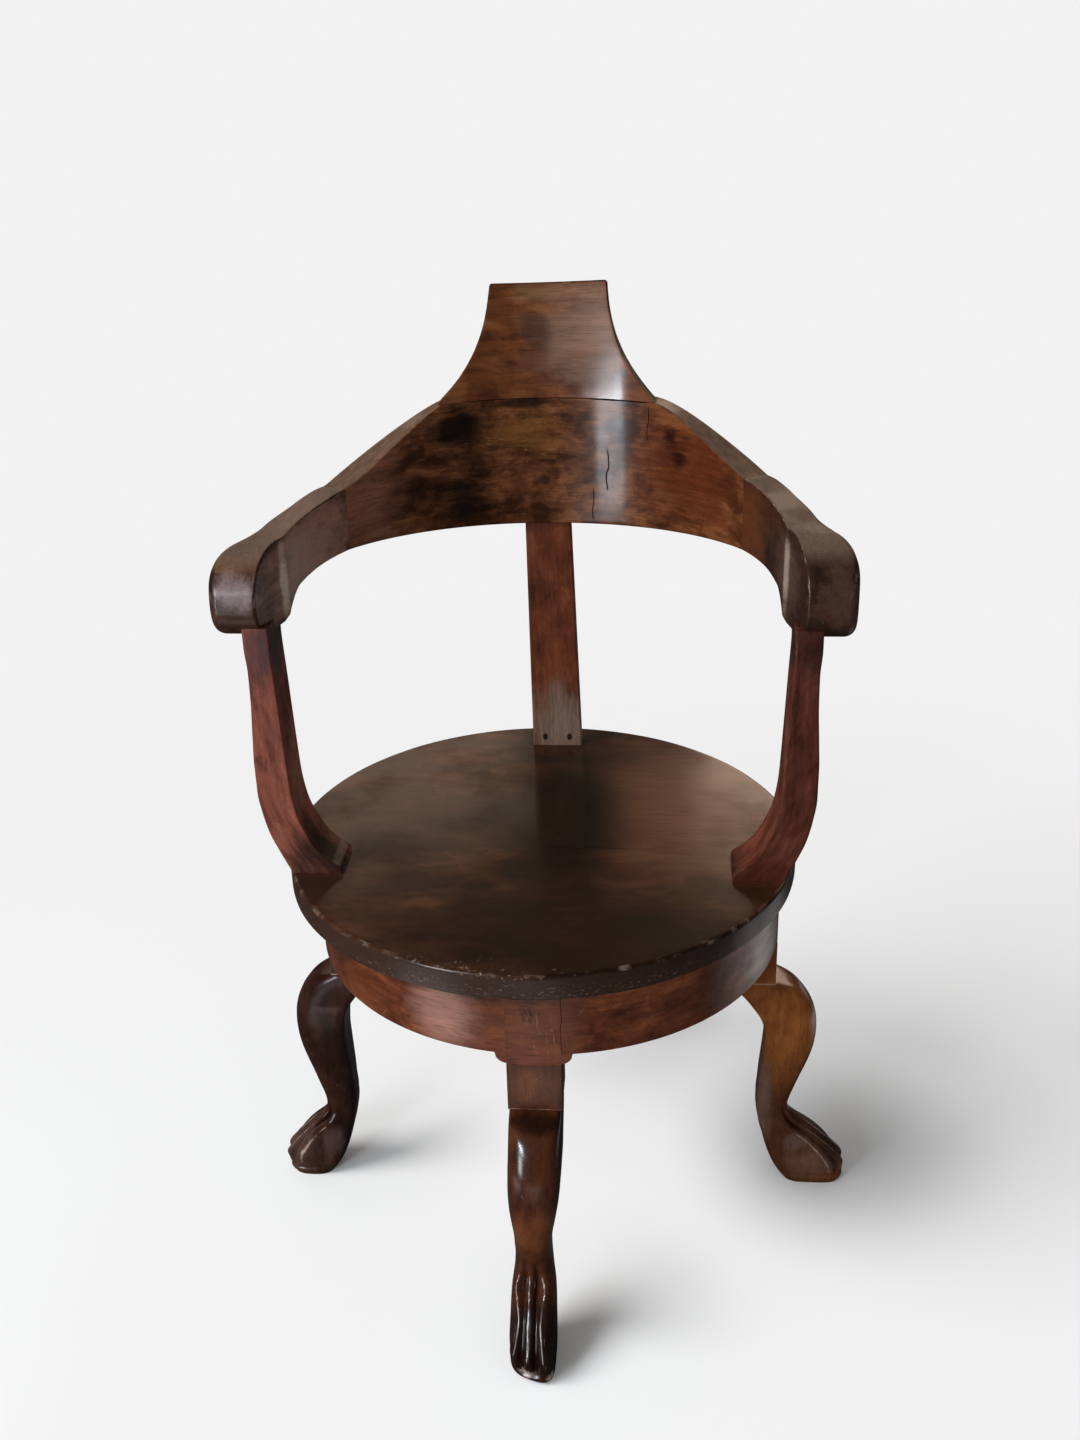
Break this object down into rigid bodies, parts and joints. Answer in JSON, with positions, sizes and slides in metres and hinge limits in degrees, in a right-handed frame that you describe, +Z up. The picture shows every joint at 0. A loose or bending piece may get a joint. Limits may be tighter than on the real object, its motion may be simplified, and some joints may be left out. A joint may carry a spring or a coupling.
{
  "type": "revolving barber chair",
  "caption": "Wooden barber chair with a round seat that revolves on a ring apron over cabriole legs with paw feet, a curved arm rail and a narrow headrest.",
  "frame": {"origin": "on the floor under the swivel axis, in the middle of the legs", "axes": "+Z up along the swivel axis, -Y the way the sitter faces, +X to the left hand of the sitter"},
  "size_m": [0.634, 0.6283, 0.9543],
  "materials": {
    "walnut_base": "French-polished dark walnut-brown wood, orange-brown where worn",
    "walnut_seat": "polished dark brown board with a near-black edge",
    "walnut_back": "French-polished red-brown wood with dark figure",
    "secondary_wood": "plain unpolished inner wood",
    "spindle_iron": "dark oiled iron",
    "bush_brass": "dull brass"
  },
  "bodies": {
    "base": {"leg_front": "walnut_base", "leg_right": "walnut_base", "leg_back": "walnut_base", "leg_left": "walnut_base", "apron_front_right": "walnut_base", "apron_back_right": "walnut_base", "apron_back_left": "walnut_base", "apron_front_left": "walnut_base", "apron_dowels": "secondary_wood", "cross_rail_side": "secondary_wood", "cross_rail_front": "secondary_wood", "pivot_plate": "spindle_iron", "plate_screws": "spindle_iron", "pivot_bush": "bush_brass"},
    "seat": {"seat_board": "walnut_seat", "seat_battens": "secondary_wood", "batten_screws": "spindle_iron", "spindle": "spindle_iron", "flange_screws": "spindle_iron", "spindle_washer": "spindle_iron", "spindle_nut": "spindle_iron", "back_splat": "walnut_back", "splat_pegs": "walnut_back", "support_right": "walnut_back", "support_left": "walnut_back", "support_dowels": "secondary_wood", "back_rail": "walnut_back", "headrest": "walnut_back", "crown_dowels": "secondary_wood", "arm_right": "walnut_back", "arm_left": "walnut_back", "arm_dowels": "secondary_wood"}
  },
  "joints": [
    {"name": "seat_swivel", "type": "hinge", "parent": "base", "child": "seat", "pos_m": [0, 0, 0.38], "axis": [0, 0, 1], "continuous": true}
  ]
}
